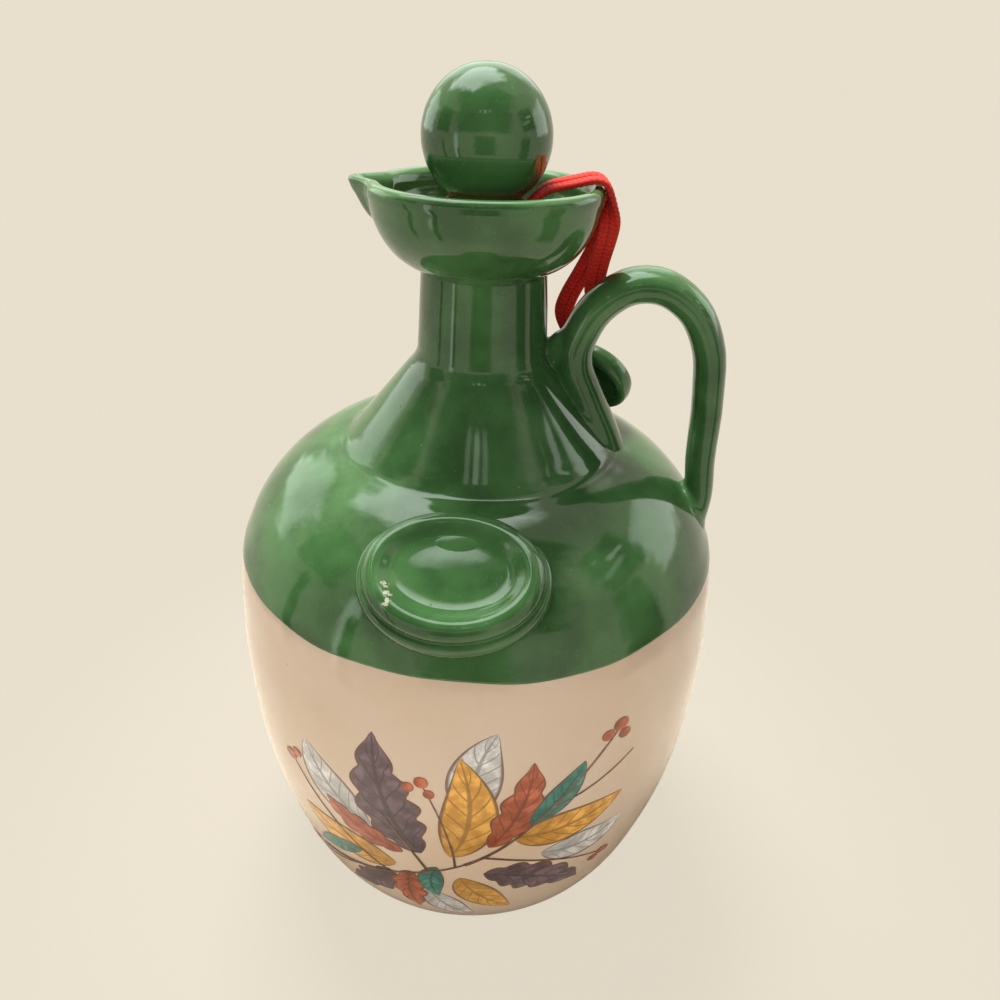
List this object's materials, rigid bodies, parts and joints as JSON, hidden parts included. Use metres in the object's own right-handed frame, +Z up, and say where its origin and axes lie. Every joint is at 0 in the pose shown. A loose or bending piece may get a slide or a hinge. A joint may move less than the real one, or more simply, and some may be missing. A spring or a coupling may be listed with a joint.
{
  "type": "jug decanter",
  "caption": "Glazed stoneware jug decanter with a loop handle, a pouring bowl on its neck, an oval medallion, a corked ball stopper and a ribbon that carries a round seal.",
  "frame": {"origin": "middle of the foot ring, on the surface that the jug stands on", "axes": "+Z up along the neck, +X towards the handle, -Y the side with the medallion"},
  "size_m": [0.112, 0.112, 0.1878],
  "materials": {
    "cream_glaze": "gloss glaze",
    "green_glaze": "gloss glaze",
    "cork": "natural cork",
    "ribbon": "flat braid"
  },
  "bodies": {
    "jug": {"body_shell": "cream_glaze", "shoulder_shell": "green_glaze", "neck": "green_glaze", "pouring_bowl": "green_glaze", "handle": "green_glaze", "front_medallion": "green_glaze", "ribbon_strand_front": "ribbon", "ribbon_strand_back": "ribbon", "ribbon_bight": "ribbon"},
    "ribbon_hitch": {"ribbon_loop": "ribbon"},
    "stopper": {"stopper_ball": "green_glaze", "stopper_cork": "cork"},
    "seal": {"seal_pendant": "green_glaze"}
  },
  "joints": [
    {"name": "stopper_lift", "type": "slide", "parent": "jug", "child": "ribbon_hitch", "axis": [0, 0, 1], "range_m": [0, 0.036]},
    {"name": "stopper_twist", "type": "hinge", "parent": "ribbon_hitch", "child": "stopper", "pos_m": [0, 0, 0.1595], "axis": [0, 0, 1], "continuous": true},
    {"name": "seal_swing", "type": "hinge", "parent": "jug", "child": "seal", "pos_m": [0.0205, 0.0096, 0.1353], "axis": [0.866, -0.5, 0], "range_deg": [0, 40]}
  ]
}
